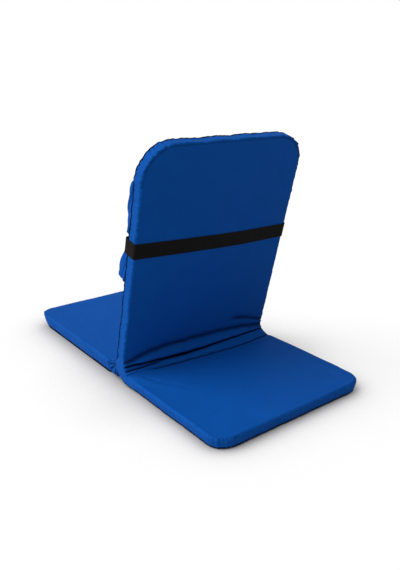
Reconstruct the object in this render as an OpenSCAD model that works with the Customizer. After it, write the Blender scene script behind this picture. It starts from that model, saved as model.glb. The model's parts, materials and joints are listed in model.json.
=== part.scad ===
// Folding floor chair: seat, leaning back and rear base, hinged where they meet, with a back pillow

/* [Overall] */
// Width of the three panels
chair_w = 533; // [440:1:620]
// Lean of the back from upright, in degrees
lean = 15; // [10:0.5:20]

/* [Seat panel] */
// Length of the seat pad
seat_len = 524; // [400:1:640]
// Thickness of the seat pad
seat_t = 51; // [44:0.5:70]
// Corner radius of the seat's front edge
seat_corner_r = 52; // [30:1:80]

/* [Back panel] */
// Reach of the back from the rear pivot to its top edge
back_reach = 681; // [560:1:800]
// Thickness of the back pad
back_t = 38; // [36:0.5:50]
// Radius of the back's top corners
back_corner_r = 92; // [50:1:130]

/* [Rear base panel] */
// Reach of the rear base from the rear pivot to its far edge
rear_reach = 450; // [330:1:600]
// Thickness of the rear base pad
rear_t = 36; // [32:0.5:50]
// Radius of the rear base's far corners
rear_corner_r = 56; // [30:1:90]

/* [Pads] */
// Rounding of the pads' long edges
edge_r = 9; // [8:0.5:15]
// Rise of each pad's face from its edges to its middle
crown = 3; // [1:0.5:4]
// Thickness of cover and wadding together
cover_t = 1.6; // [1.2:0.1:3]
// Thickness of the non-slip cloth under the floor panels
underside_t = 1; // [0.8:0.1:1.5]

/* [Frame] */
// Outer diameter of the steel frame tube
tube_d = 16; // [14:0.5:20]
// Wall of the steel frame tube
tube_wall = 1.2; // [1:0.1:1.6]
// Distance from a pad's edge to the middle of its tube
tube_inset = 19.5; // [18:0.5:24]
// Diameter of the cross rods
rod_d = 8; // [6:0.5:10]

/* [Hinge] */
// Gap between two panels when they are folded flat
fold_gap = 2; // [1.8:0.1:4]
// Distance from the rear pivot to the pads on either side of it
hinge_gap = 16; // [15:0.5:20]
// Distance from the front pivot to the seat pad
seat_gap = 34; // [30:0.5:45]
// Thickness of each side plate
plate_t = 2; // [1.5:0.1:3]
// Thickness of the arms and the pawl
arm_t = 5; // [4:0.5:6]
// Diameter of the pivot rivets
pivot_d = 8; // [6:0.5:9]
// Running clearance of a bore round its rivet, on the radius
run_gap = 0.05; // [0.02:0.01:0.1]
// Tip radius of the ratchet teeth
tooth_tip_r = 14.5; // [13.5:0.1:14.8]
// Root radius of the ratchet teeth
tooth_root_r = 11; // [10.5:0.1:11.5]
// Angle from one ratchet position to the next
tooth_pitch = 18; // [16:1:20]

/* [Pillow and strap] */
// Height of the pillow
pillow_h = 320; // [220:1:400]
// Distance from the pillow's lower edge to the rear pivot, along the back
pillow_low = 262; // [200:1:300]
// Distance from the chair's side to the pillow's end
pillow_side = 9; // [4:1:40]
// Thickness of the pillow's upper lobe
upper_lobe_t = 34; // [15:1:40]
// Thickness of the pillow's lower lobe
lower_lobe_t = 56; // [30:1:60]
// Thickness of the pillow under the strap
waist_t = 9; // [6:0.5:14]
// Width of the elastic strap
strap_w = 45; // [25:1:60]
// Thickness of the elastic strap
strap_t = 1.2; // [0.8:0.1:1.4]
// Radius of the strap's bends round the back's edges
strap_bend_r = 8; // [4:0.5:12]

/* [Hidden] */
$fn = 64;
// Facets of the circles inside a hull
hull_fn = 32;
// Overrun of every cut
cut = 1;

// Places of the panels and pivots, seen from the side with the rear pivot as origin
half_w = chair_w / 2;
face_gap = fold_gap / 2;
rear_pivot_z = rear_t + face_gap;
front_pivot_z = seat_t + face_gap;
// The front pivot in the back's own axes: n is square to its rear face, s runs up it
front_pivot_n = -(back_t + fold_gap);
front_pivot_rise = front_pivot_z - rear_pivot_z;
front_pivot_s = (front_pivot_rise + front_pivot_n * sin(lean)) / cos(lean);
front_pivot_y = front_pivot_s * sin(lean) + front_pivot_n * cos(lean);
front_reach = seat_gap + seat_len - front_pivot_y;
rear_pivot_y = (front_reach - rear_reach) / 2;

// Colours
blue = [0.03, 0.20, 0.55];
black = [0.06, 0.06, 0.06];
steel = [0.62, 0.63, 0.65];
dark_steel = [0.30, 0.31, 0.33];
foam_white = [0.90, 0.88, 0.78];

// Frames of reference: the rear pivot, the back above it, and the front pivot
module at_rear_pivot() translate([0, rear_pivot_y, rear_pivot_z]) children();
module on_back() at_rear_pivot() rotate([-lean, 0, 0]) children();
module at_front_pivot() translate([0, rear_pivot_y + front_pivot_y, front_pivot_z]) children();
// A back panel's own axes: its length runs up the back and its thickness forwards
module back_panel_axes() on_back() translate([0, -face_gap, hinge_gap]) rotate([90, 0, 0]) children();
module rear_panel_axes() at_rear_pivot() translate([0, hinge_gap, -rear_pivot_z]) children();
module seat_panel_axes()
    at_front_pivot() translate([0, -seat_gap, -front_pivot_z]) rotate([0, 0, 180]) children();
// Both sides of the chair, and one of them
side_x = half_w - tube_inset;
module on_side(side) translate([side * side_x, 0, 0]) children();
module both_sides() for (side = [-1, 1]) on_side(side) children();

// A flat outline drawn as y across and z up, given a thickness across the chair
module cut_from_plate(t) rotate([90, 0, 90]) linear_extrude(t, center = true) children();

// Outline of a pad inset by d: small corners at the hinge, large ones at the far edge
corner_steps = 7;
least_r = 1;
near_corner_r = 24;
function corner(x, y, r, a, steps) =
    [for (i = [0 : steps]) [x + r * cos(a + 90 * i / steps), y + r * sin(a + 90 * i / steps)]];
function pad_outline(w, len, near_r, far_r, d, steps) =
    let (
        n = max(near_r - d, least_r),
        f = max(far_r - d, least_r),
        x = w - d
    )
    concat(
        corner(x - n, d + n, n, -90, steps),
        corner(x - f, len - d - f, f, 0, steps),
        corner(-x + f, len - d - f, f, 90, steps),
        corner(-x + n, d + n, n, 180, steps)
    );

// Section of a pad from the middle of its underside round to the middle of its top, as [inset, height]
crown_run_share = 0.3;
function arc_inset(r, a) = r * (1 - cos(a));
function pad_section(t, r, low_crown, high_crown, run, arc_steps, crown_steps) =
    concat(
        [for (i = [0 : crown_steps - 1]) if (low_crown > 0) let (k = i / crown_steps)
            [r + run * (1 - k), low_crown * k * k]],
        [for (i = [0 : arc_steps]) let (a = 90 * i / arc_steps - 90)
            [arc_inset(r, a), low_crown + r + r * sin(a)]],
        [for (i = [0 : arc_steps]) let (a = 90 * i / arc_steps)
            [arc_inset(r, a), t - high_crown - r + r * sin(a)]],
        [for (i = [crown_steps - 1 : -1 : 0]) if (high_crown > 0) let (k = i / crown_steps)
            [r + run * (1 - k), t - high_crown * k * k]]
    );

// Closed skin over rings of equal count; cap lists the faces that close the first ring
function whole_ring(count) = [[for (i = [0 : count - 1]) i]];
function turned_over(face) = [for (i = [len(face) - 1 : -1 : 0]) face[i]];
function skin_faces(rings, count, cap) =
    concat(
        cap,
        [for (k = [0 : rings - 2], i = [0 : count - 1], half = [0, 1])
            let (
                a = k * count + i,
                b = k * count + (i + 1) % count,
                c = b + count,
                d = a + count
            )
            half == 0 ? [a, d, c] : [a, c, b]],
        [for (face = cap) [for (i = turned_over(face)) (rings - 1) * count + i]]
    );

module pad_solid(w, len, t, near_r, far_r, r, low_crown, high_crown, arc_steps, crown_steps, steps) {
    run = w * crown_run_share;
    section = pad_section(t, r, low_crown, high_crown, run, arc_steps, crown_steps);
    points = [for (ring = section) for (p = pad_outline(w, len, near_r, far_r, ring[0], steps))
        [p[0], p[1], ring[1]]];
    count = 4 * (steps + 1);
    polyhedron(points, skin_faces(len(section), count, whole_ring(count)), convexity = 4);
}

// Outer form of a pad's cover, and the space inside it that the foam fills
cover_arc_steps = 4;
foam_arc_steps = 2;
cover_crown_steps = 3;
foam_crown_steps = 1;
foam_corner_steps = 4;
module cover_form(len, t, far_r, low_crown)
    pad_solid(half_w, len, t, near_corner_r, far_r, edge_r, low_crown, crown,
        cover_arc_steps, cover_crown_steps, corner_steps);
module foam_form(len, t, far_r, low_crown)
    translate([0, cover_t, cover_t])
        pad_solid(half_w - cover_t, len - 2 * cover_t, t - 2 * cover_t, near_corner_r - cover_t,
            far_r - cover_t, edge_r - cover_t, low_crown, crown,
            foam_arc_steps, foam_crown_steps, foam_corner_steps);
// A notch through the hinge end of a pad, where the steel comes out
module end_notch(width, depth, t)
    both_sides() translate([-width / 2, -cut, -cut]) cube([width, depth + cut, t + 2 * cut]);

// Frame tube bent to a U, with its open ends at y0, and a cut along its bore
frame_bend_r = 40;
tube_r = tube_d / 2;
bore_r = tube_r - tube_wall;
module bent_u(r, y0, y1, bend) {
    both_sides() translate([0, y0, 0]) rotate([-90, 0, 0]) cylinder(r = r, h = y1 - bend - y0);
    for (turn = [0, 1])
        translate([(side_x - bend) * (1 - 2 * turn), y1 - bend, 0]) rotate([0, 0, 90 * turn])
            rotate_extrude(angle = 90) translate([bend, 0]) circle(r = r);
    translate([-(side_x - bend), y1, 0]) rotate([0, 90, 0]) cylinder(r = r, h = 2 * (side_x - bend));
}
module u_frame(y0, y1, bend, rods, rivets) {
    difference() {
        union() {
            bent_u(tube_r, y0, y1, bend);
            for (y = rods) translate([-side_x, y, 0]) rotate([0, 90, 0])
                cylinder(d = rod_d, h = 2 * side_x);
        }
        bent_u_bore(y0, y1, bend);
        both_sides() for (y = rivets) translate([0, y, 0]) rivet_hole(tube_d + 2 * cut);
    }
}
module bent_u_bore(y0, y1, bend) bent_u(bore_r, y0 - cut, y1, bend);

// Rivets lie across the chair; small ones hold the tubes, large ones are the pivots
tube_rivet_d = 5;
rivet_head_share = 1.7;
rivet_cone_share = 0.62;
head_t_share = 0.28;
hole_gap = 0.02;
module rivet_hole(length)
    rotate([0, 90, 0]) cylinder(d = tube_rivet_d + 2 * hole_gap, h = length, center = true);
module rivet(d, grip) {
    head_t = d * head_t_share;
    rotate([0, 90, 0]) cylinder(d = d, h = grip, center = true);
    for (end = [0, 1]) mirror([end, 0, 0]) translate([grip / 2, 0, 0]) rotate([0, 90, 0])
        cylinder(d1 = d * rivet_head_share, d2 = d * rivet_head_share * rivet_cone_share, h = head_t);
}

// Where the tubes begin and where their rivets sit, from each pivot
tube_depth = 6;
back_tube_depth = 2;
back_tube_start = hinge_gap + back_tube_depth;
rear_tube_start = hinge_gap + tube_depth;
seat_tube_start = seat_gap + tube_depth;
rivet_pitch = 22;
first_rivet = 12;
tongue_len = 48;
back_rivets = [back_tube_start + first_rivet, back_tube_start + first_rivet + rivet_pitch];
tongue_rivets = [first_rivet, first_rivet + rivet_pitch];
// Middle of each tube, measured square to its panel from the pivot
back_tube_n = -(face_gap + back_t / 2);
rear_tube_drop = face_gap + (rear_t + underside_t) / 2;
seat_tube_drop = face_gap + (seat_t + underside_t) / 2;

// Steel parts of the back's own frame lie in the back panel's axes
module back_tube_axes() on_back() translate([0, back_tube_n, 0]) rotate([90, 0, 0]) children();
module rear_tube_axes() at_rear_pivot() translate([0, 0, -rear_tube_drop]) children();
module seat_tube_axes() at_front_pivot() translate([0, 0, -seat_tube_drop]) rotate([0, 0, 180]) children();

rod_shares = [0.36, 0.7];
function rod_places(reach) = [for (share = rod_shares) reach * share];
back_bend_r = back_corner_r - tube_inset;

module back_frame() color(steel) back_tube_axes()
    u_frame(back_tube_start, back_reach - tube_inset, back_bend_r, rod_places(back_reach), back_rivets);
module rear_base_frame() color(steel) rear_tube_axes()
    u_frame(rear_tube_start, rear_reach - tube_inset, frame_bend_r, rod_places(rear_reach),
        [for (y = tongue_rivets) rear_tube_start + y]);
module seat_frame() color(steel) seat_tube_axes()
    u_frame(seat_tube_start, seat_gap + seat_len - tube_inset, frame_bend_r,
        rod_places(seat_gap + seat_len), [for (y = tongue_rivets) seat_tube_start + y]);

// Room in the foam for a frame, its rods and its rivets
rivet_room = 3;
rivet_pocket = tube_d + 2 * rivet_room;
module frame_channel(y0, y1, bend, rods, pocket_end) {
    bent_u(tube_r, y0 - 2 * cut, y1, bend);
    for (y = rods) translate([-side_x, y, 0]) rotate([0, 90, 0]) cylinder(d = rod_d, h = 2 * side_x);
    both_sides() translate([-rivet_pocket / 2, 0, -tube_r])
        cube([rivet_pocket, pocket_end, tube_d]);
}

// Hinge hardware: two plates on each side of the back's tube carry both pivots and the pawl
plate_gap = tube_d + 2 * run_gap;
plate_x = plate_gap / 2 + plate_t / 2;
eye_r = 9;
plate_neck_r = 8;
plate_neck_s = 11;
plate_neck_share = 0.32;
pawl_rivet_d = 5;
pocket_room = 3;
pocket_w = plate_gap + 2 * (plate_t + pocket_room);
plate_top = back_rivets[1];

// Pawl: its tip hooks down into a notch, and its knee and middle bow over the teeth
pawl_len = 17;
pawl_tip_r = 0.7;
pawl_knee_r = 1.1;
pawl_mid_r = 2.4;
pawl_boss_r = 5;
pawl_at = 30;
pawl_knee_turn = 8;
pawl_mid_turn = 28;
pawl_lift = 12;
pawl_gap = 0.5;
// Points of the engaged pawl in the back's axes, as [n, s]
function turn_point(r, a) = [-r * sin(a), r * cos(a)];
pawl_tip = turn_point(tooth_root_r + pawl_gap + pawl_tip_r, pawl_at);
pawl_knee = turn_point(tooth_tip_r + pawl_gap + pawl_knee_r, pawl_at + pawl_knee_turn);
pawl_mid = turn_point(tooth_tip_r + pawl_gap + pawl_mid_r, pawl_at + pawl_mid_turn);
pawl_pivot = pawl_tip + turn_point(pawl_len, pawl_at + 90);
// Where a point of the pawl lies once the pawl is lifted about its rivet
function lifted(p) = let (v = p - pawl_pivot)
    pawl_pivot + [
        v[0] * cos(pawl_lift) - v[1] * sin(pawl_lift),
        v[0] * sin(pawl_lift) + v[1] * cos(pawl_lift)
    ];

module plate_outline() {
    neck_rear = [-back_t * plate_neck_share - face_gap, plate_neck_s];
    neck_front = [front_pivot_n + back_t * plate_neck_share + face_gap, plate_neck_s];
    hull() {
        circle(r = eye_r, $fn = hull_fn);
        translate(neck_rear) circle(r = plate_neck_r, $fn = hull_fn);
    }
    hull() {
        translate([front_pivot_n, front_pivot_s]) circle(r = eye_r, $fn = hull_fn);
        translate(neck_front) circle(r = plate_neck_r, $fn = hull_fn);
    }
    hull() {
        translate(neck_rear) circle(r = plate_neck_r, $fn = hull_fn);
        translate(neck_front) circle(r = plate_neck_r, $fn = hull_fn);
        translate([back_tube_n, plate_top]) circle(r = plate_neck_r, $fn = hull_fn);
        translate(pawl_pivot) circle(r = pawl_boss_r, $fn = hull_fn);
    }
}
module round_hole(at, d) translate([0, at[0], at[1]]) rotate([0, 90, 0])
    cylinder(d = d + 2 * hole_gap, h = arm_t + 2 * plate_t + 2 * cut, center = true);
module side_plate() difference() {
    cut_from_plate(plate_t) plate_outline();
    round_hole([0, 0], pivot_d);
    round_hole([front_pivot_n, front_pivot_s], pivot_d);
    round_hole(pawl_pivot, pawl_rivet_d);
    for (s = back_rivets) round_hole([back_tube_n, s], tube_rivet_d);
}
// side is -1 or 1 across the chair, and face is -1 for the inner plate and 1 for the outer
module placed_plate(side, face) color(dark_steel) on_back()
    translate([side * (side_x + face * plate_x), 0, 0]) side_plate();
module inner_plate_left() placed_plate(-1, -1);
module outer_plate_left() placed_plate(-1, 1);
module inner_plate_right() placed_plate(1, -1);
module outer_plate_right() placed_plate(1, 1);

// Ratchet disc: root circle with five notches, each with a steep side and a ramp
notch_flat = 8;
notch_ramp = 8;
notch_count = 5;
notch_lead = 3.9;
first_notch = 1;
// Angle of a notch's steep side, from the back's own upward direction towards the front
function notch_side(k) = pawl_at - notch_lead + tooth_pitch * (first_notch - k);
disc_points = [for (k = [0 : notch_count - 1]) each [
    turn_point(tooth_root_r, notch_side(k) + notch_flat),
    turn_point(tooth_root_r, notch_side(k)),
    turn_point(tooth_tip_r, notch_side(k)),
    turn_point(tooth_tip_r, notch_side(k) + notch_flat + notch_ramp - tooth_pitch)
]];
last_root = notch_side(notch_count) + notch_flat;
module ratchet_disc() {
    circle(r = tooth_root_r);
    polygon(concat([[0, 0]], disc_points, [turn_point(tooth_root_r, last_root)]));
}

// Arms: an eye on the pivot, a slanting web and a tongue that fills the tube's mouth
tongue_h = 12;
tongue_end_r = tongue_h / 2;
module tongue(start, drop) translate([-arm_t / 2, start - tongue_end_r, -drop - tongue_h / 2])
    cube([arm_t, tongue_len + tongue_end_r, tongue_h]);
module arm_web(start, drop) cut_from_plate(arm_t) hull() {
    circle(r = eye_r, $fn = hull_fn);
    translate([start - tongue_end_r, -drop]) circle(r = tongue_end_r, $fn = hull_fn);
}
module arm_holes(start, drop) {
    rotate([0, 90, 0]) cylinder(d = pivot_d + 2 * run_gap, h = arm_t + 2 * cut, center = true);
    for (y = tongue_rivets) translate([0, start + y, -drop]) rivet_hole(arm_t + 2 * cut);
}
module rear_arm(side) color(steel) at_rear_pivot() on_side(side) difference() {
    union() {
        arm_web(rear_tube_start, rear_tube_drop);
        tongue(rear_tube_start, rear_tube_drop);
        rotate([-lean, 0, 0]) cut_from_plate(arm_t) ratchet_disc();
    }
    arm_holes(rear_tube_start, rear_tube_drop);
}
module seat_arm(side) color(steel) at_front_pivot() on_side(side) rotate([0, 0, 180])
    difference() {
        union() {
            arm_web(seat_tube_start, seat_tube_drop);
            tongue(seat_tube_start, seat_tube_drop);
        }
        arm_holes(seat_tube_start, seat_tube_drop);
    }
module rear_arm_left() rear_arm(-1);
module rear_arm_right() rear_arm(1);
module seat_arm_left() seat_arm(-1);
module seat_arm_right() seat_arm(1);

// Pivot rivets, and the spacer rings that keep each arm in the middle
pivot_grip = plate_gap + 2 * plate_t;
spacer_gap = 0.1;
spacer_d_share = 1.75;
spacer_t = plate_gap / 2 - arm_t / 2 - 2 * spacer_gap;
module spacer_pair(d) for (end = [0, 1]) mirror([end, 0, 0])
    translate([arm_t / 2 + spacer_gap, 0, 0]) rotate([0, 90, 0]) difference() {
        cylinder(d = d * spacer_d_share, h = spacer_t);
        translate([0, 0, -cut]) cylinder(d = d + 2 * run_gap, h = spacer_t + 2 * cut);
    }
module rear_pivot_rivets() color(steel) at_rear_pivot() both_sides() rivet(pivot_d, pivot_grip);
module rear_pivot_spacers() color(dark_steel) at_rear_pivot() both_sides() spacer_pair(pivot_d);
module seat_pivot_rivets() color(steel) at_front_pivot() both_sides() rivet(pivot_d, pivot_grip);
module seat_pivot_spacers() color(dark_steel) at_front_pivot() both_sides() spacer_pair(pivot_d);
module pawl_rivets() color(steel) on_back() both_sides() translate([0, pawl_pivot[0], pawl_pivot[1]])
    rivet(pawl_rivet_d, pivot_grip);
module back_tube_rivets() color(steel) on_back() both_sides() for (s = back_rivets)
    translate([0, back_tube_n, s]) rivet(tube_rivet_d, pivot_grip);
module rear_tube_rivets() color(steel) rear_tube_axes() both_sides() for (y = tongue_rivets)
    translate([0, rear_tube_start + y, 0]) rivet(tube_rivet_d, tube_d);
module seat_tube_rivets() color(steel) seat_tube_axes() both_sides() for (y = tongue_rivets)
    translate([0, seat_tube_start + y, 0]) rivet(tube_rivet_d, tube_d);

// Pawl in its lifted place
pawl_path = [
    [pawl_pivot, pawl_boss_r],
    [pawl_mid, pawl_mid_r],
    [pawl_knee, pawl_knee_r],
    [pawl_tip, pawl_tip_r]
];
module pawl(side) color(dark_steel) on_back() on_side(side) difference() {
    cut_from_plate(arm_t) for (i = [0 : len(pawl_path) - 2]) hull()
        for (p = [pawl_path[i], pawl_path[i + 1]])
            translate(lifted(p[0])) circle(r = p[1], $fn = hull_fn);
    translate([0, pawl_pivot[0], pawl_pivot[1]]) rotate([0, 90, 0])
        cylinder(d = pawl_rivet_d + 2 * run_gap, h = arm_t + 2 * cut, center = true);
}
module pawl_left() pawl(-1);
module pawl_right() pawl(1);

// Leaf spring: its foot lies along the tube's bore and its blade bears on the pawl's back
leaf_t = 0.6;
leaf_gap = 0.3;
leaf_margin = 1;
leaf_bend_s = back_tube_start + leaf_margin;
leaf_top_s = back_tube_start + first_rivet - tube_rivet_d / 2 - leaf_margin;
leaf_foot_n = back_tube_n - sqrt(bore_r * bore_r - arm_t * arm_t / 4) + leaf_gap;
pawl_back = lifted(pawl_mid) + [-pawl_mid_r - leaf_gap, pawl_mid_r + leaf_gap] / sqrt(2);
module pawl_spring(side) color(steel) on_back() on_side(side) cut_from_plate(arm_t)
    polygon([
        [leaf_foot_n, leaf_top_s],
        [leaf_foot_n, leaf_bend_s],
        pawl_back + [-leaf_t, 0],
        pawl_back,
        [leaf_foot_n + leaf_t, leaf_bend_s + leaf_t / 2],
        [leaf_foot_n + leaf_t, leaf_top_s]
    ]);
module pawl_spring_left() pawl_spring(-1);
module pawl_spring_right() pawl_spring(1);

// Foam pads with room for the frame and the hinge
back_pad_len = back_reach - hinge_gap;
rear_pad_len = rear_reach - hinge_gap;
back_pocket_s = plate_top + plate_neck_r + pocket_room - hinge_gap;
module back_foam() color(foam_white) difference() {
    back_panel_axes() foam_form(back_pad_len, back_t, back_corner_r, crown);
    back_tube_axes() frame_channel(back_tube_start, back_reach - tube_inset, back_bend_r,
        rod_places(back_reach), back_tube_start);
    back_panel_axes() end_notch(pocket_w, back_pocket_s, back_t);
}
module rear_base_foam() color(foam_white) difference() {
    rear_panel_axes() translate([0, 0, underside_t])
        foam_form(rear_pad_len, rear_t - underside_t, rear_corner_r, 0);
    rear_tube_axes() frame_channel(rear_tube_start, rear_reach - tube_inset, frame_bend_r,
        rod_places(rear_reach), rear_tube_start + tongue_len);
    rear_panel_axes() end_notch(arm_notch_w, arm_notch_depth, rear_t);
}
module seat_foam() color(foam_white) difference() {
    seat_panel_axes() translate([0, 0, underside_t])
        foam_form(seat_len, seat_t - underside_t, seat_corner_r, 0);
    seat_tube_axes() frame_channel(seat_tube_start, seat_gap + seat_len - tube_inset, frame_bend_r,
        rod_places(seat_gap + seat_len), seat_tube_start + tongue_len);
    seat_panel_axes() end_notch(arm_notch_w, arm_notch_depth, seat_t);
}

// Covers: each is a bag round its foam, notched where the steel comes out
arm_room = 2;
arm_notch_w = arm_t + 2 * arm_room;
arm_notch_depth = edge_r + arm_room;
module back_cover() color(blue) back_panel_axes() difference() {
    cover_form(back_pad_len, back_t, back_corner_r, crown);
    foam_form(back_pad_len, back_t, back_corner_r, crown);
    end_notch(pocket_w, arm_notch_depth, back_t);
}
module rear_base_cover() color(blue) rear_panel_axes() difference() {
    translate([0, 0, underside_t]) difference() {
        cover_form(rear_pad_len, rear_t - underside_t, rear_corner_r, 0);
        foam_form(rear_pad_len, rear_t - underside_t, rear_corner_r, 0);
    }
    end_notch(arm_notch_w, arm_notch_depth, rear_t);
}
module seat_cover() color(blue) seat_panel_axes() difference() {
    translate([0, 0, underside_t]) difference() {
        cover_form(seat_len, seat_t - underside_t, seat_corner_r, 0);
        foam_form(seat_len, seat_t - underside_t, seat_corner_r, 0);
    }
    end_notch(arm_notch_w, arm_notch_depth, seat_t);
}

// Black non-slip cloth under the two panels that lie on the floor
underside_inset = edge_r;
module underside(len, far_r) linear_extrude(underside_t)
    polygon(pad_outline(half_w, len, near_corner_r, far_r, underside_inset, corner_steps));
module rear_base_underside() color(black) rear_panel_axes() underside(rear_pad_len, rear_corner_r);
module seat_underside() color(black) seat_panel_axes() underside(seat_len, seat_corner_r);

// Pillow: a section with two lobes and a waist under the strap, swept across the chair
pillow_gap = 0.3;
strap_at_share = 0.431;
waist_margin = 1;
strap_s = pillow_low + pillow_h * strap_at_share;
waist_half = strap_w / 2 + waist_margin;
lower_lobe_len = strap_s - waist_half - pillow_low;
upper_lobe_len = pillow_low + pillow_h - strap_s - waist_half;
upper_lobe_start = lower_lobe_len + 2 * waist_half;
lobe_steps = 10;
// Powers that fill a lobe out: below 1 its flanks stand steeper, and its fattest place moves
// down the back with a lean_power above 1, up it with one below 1
full_power = 0.6;
lower_lean_power = 1.5;
upper_lean_power = 0.85;
function lobe(start, len, height, base, lean_power) =
    [for (i = [0 : lobe_steps]) let (a = 180 * i / lobe_steps)
        [start + len * pow((1 - cos(a)) / 2, lean_power),
            base + (height - base) * pow(max(sin(a), 0), full_power)]];
// Front of the section as [s, thickness], from the lower edge over both lobes, drawn in by the skin
function pillow_front(skin) = concat(
    lobe(skin, lower_lobe_len - 2 * skin, lower_lobe_t - skin, waist_t - skin, lower_lean_power),
    lobe(upper_lobe_start + skin, upper_lobe_len - 2 * skin, upper_lobe_t - skin, waist_t - skin,
        upper_lean_power)
);
front_count = 2 * (lobe_steps + 1);
// The end caps fan out over each lobe from the back edge's two corners
upper_first = front_count - lobe_steps;
pillow_cap = concat(
    [for (k = [2 : upper_first - 1]) [1, k, k + 1]],
    [[0, 1, upper_first], [0, upper_first, upper_first + 1]],
    [for (k = [upper_first + 1 : front_count]) [0, k, k + 1]]
);
pillow_half_w = half_w - pillow_side;
pillow_stations = 9;
end_shrink_share = 0.05;
end_thin_share = 0.78;
pillow_end_run = 26;
// Cross stations crowd towards each end, where both lobes shrink towards the waist on a quarter round
function station_angle(i) = 90 * i / pillow_stations;
function end_run(i) = pillow_end_run * (1 - cos(station_angle(i)));
function end_scale(i) = end_thin_share + (1 - end_thin_share) * sin(station_angle(i));
function end_height(i) = 1 - end_shrink_share * (1 - sin(station_angle(i)));
pillow_xs = concat(
    [for (i = [0 : pillow_stations]) [-pillow_half_w + end_run(i), end_scale(i), end_height(i)]],
    [for (i = [pillow_stations : -1 : 0]) [pillow_half_w - end_run(i), end_scale(i), end_height(i)]]
);
// Height on the back of front point i, with its lobe shrunk towards the waist
function front_s(front, i, tall) =
    let (waist_s = i <= lobe_steps ? lower_lobe_len : upper_lobe_start)
    pillow_low + waist_s + (front[i][0] - waist_s) * tall;
thin_share = 1.5;
module pillow_solid(skin) {
    back_n = -face_gap - back_t - pillow_gap;
    front = pillow_front(skin);
    // Each station goes along the back side first and returns over the lobes
    points = [for (st = pillow_xs) let (
            x = st[0] * (pillow_half_w - skin) / pillow_half_w,
            fat = st[1],
            tall = st[2]
        )
        each concat(
            [for (i = [0, front_count - 1]) [x, back_n - skin, front_s(front, i, tall)]],
            [for (i = [front_count - 1 : -1 : 0])
                [x, back_n - max(front[i][1] * fat, skin * thin_share), front_s(front, i, tall)]]
        )];
    polyhedron(points, skin_faces(len(pillow_xs), 2 + front_count, pillow_cap), convexity = 4);
}
pillow_skin = 1;
// The cover's opening faces the back, so it doesn't show
opening_w_share = 0.5;
opening_h = 3;
module pillow_cover() color(blue) on_back() difference() {
    pillow_solid(0);
    pillow_solid(pillow_skin);
    translate([-pillow_half_w * opening_w_share, -face_gap - back_t - pillow_gap - pillow_skin - cut,
        pillow_low + lower_lobe_len / 2])
        cube([2 * pillow_half_w * opening_w_share, pillow_skin + 2 * cut, opening_h]);
}
module pillow_filling() color(foam_white) on_back() pillow_solid(pillow_skin);

// Elastic strap: a flat loop round the back and over the pillow's waist
strap_clear = 0.4;
strap_half_w = half_w + strap_clear;
strap_front_n = -(face_gap + back_t + pillow_gap + waist_t + strap_clear);
strap_rear_n = -face_gap + strap_clear;
module strap_outline(grow) {
    x = strap_half_w + grow;
    rear = strap_rear_n + grow;
    front = strap_front_n - grow;
    r = strap_bend_r + grow;
    polygon([for (c = [
            [x - r, rear - r, 0], [-x + r, rear - r, 90],
            [-x + r, front + r, 180], [x - r, front + r, 270]
        ]) for (i = [0 : corner_steps]) let (a = c[2] + 90 * i / corner_steps)
        [c[0] + r * cos(a), c[1] + r * sin(a)]]);
}
module strap() color(black) on_back() translate([0, 0, strap_s - strap_w / 2]) linear_extrude(strap_w)
    difference() {
        strap_outline(strap_t);
        strap_outline(0);
    }

back_cover();
back_foam();
back_frame();
back_tube_rivets();
rear_base_cover();
rear_base_foam();
rear_base_frame();
rear_base_underside();
rear_tube_rivets();
seat_cover();
seat_foam();
seat_frame();
seat_underside();
seat_tube_rivets();
inner_plate_left();
outer_plate_left();
inner_plate_right();
outer_plate_right();
rear_arm_left();
rear_arm_right();
seat_arm_left();
seat_arm_right();
rear_pivot_rivets();
rear_pivot_spacers();
seat_pivot_rivets();
seat_pivot_spacers();
pawl_left();
pawl_right();
pawl_rivets();
pawl_spring_left();
pawl_spring_right();
pillow_cover();
pillow_filling();
strap();
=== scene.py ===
import json
import math

import bmesh
import bpy
import numpy as np
from mathutils import Matrix, Vector
from mathutils.kdtree import KDTree


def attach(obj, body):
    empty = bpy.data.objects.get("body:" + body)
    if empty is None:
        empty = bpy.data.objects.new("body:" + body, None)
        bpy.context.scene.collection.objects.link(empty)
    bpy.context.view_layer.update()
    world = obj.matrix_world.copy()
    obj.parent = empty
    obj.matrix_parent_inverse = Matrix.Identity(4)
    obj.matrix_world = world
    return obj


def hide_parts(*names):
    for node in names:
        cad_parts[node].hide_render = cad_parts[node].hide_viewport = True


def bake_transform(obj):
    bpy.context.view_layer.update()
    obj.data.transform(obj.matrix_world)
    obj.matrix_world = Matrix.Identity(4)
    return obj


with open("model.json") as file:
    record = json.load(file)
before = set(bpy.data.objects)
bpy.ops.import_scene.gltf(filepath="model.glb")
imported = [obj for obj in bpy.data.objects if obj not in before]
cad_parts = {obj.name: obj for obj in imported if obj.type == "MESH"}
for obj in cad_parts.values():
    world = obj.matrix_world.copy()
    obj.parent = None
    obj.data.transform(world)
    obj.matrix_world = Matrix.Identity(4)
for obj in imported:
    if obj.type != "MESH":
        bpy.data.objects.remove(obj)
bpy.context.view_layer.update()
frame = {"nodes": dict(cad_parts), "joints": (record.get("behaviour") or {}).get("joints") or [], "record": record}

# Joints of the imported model, in metres
pivots = {joint["name"]: Vector(joint["pos_m"]) for joint in frame["joints"] if "pos_m" in joint}
rear_pivot = pivots["rear_base_fold"]
seat_pivot = pivots["seat_fold"]

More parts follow.
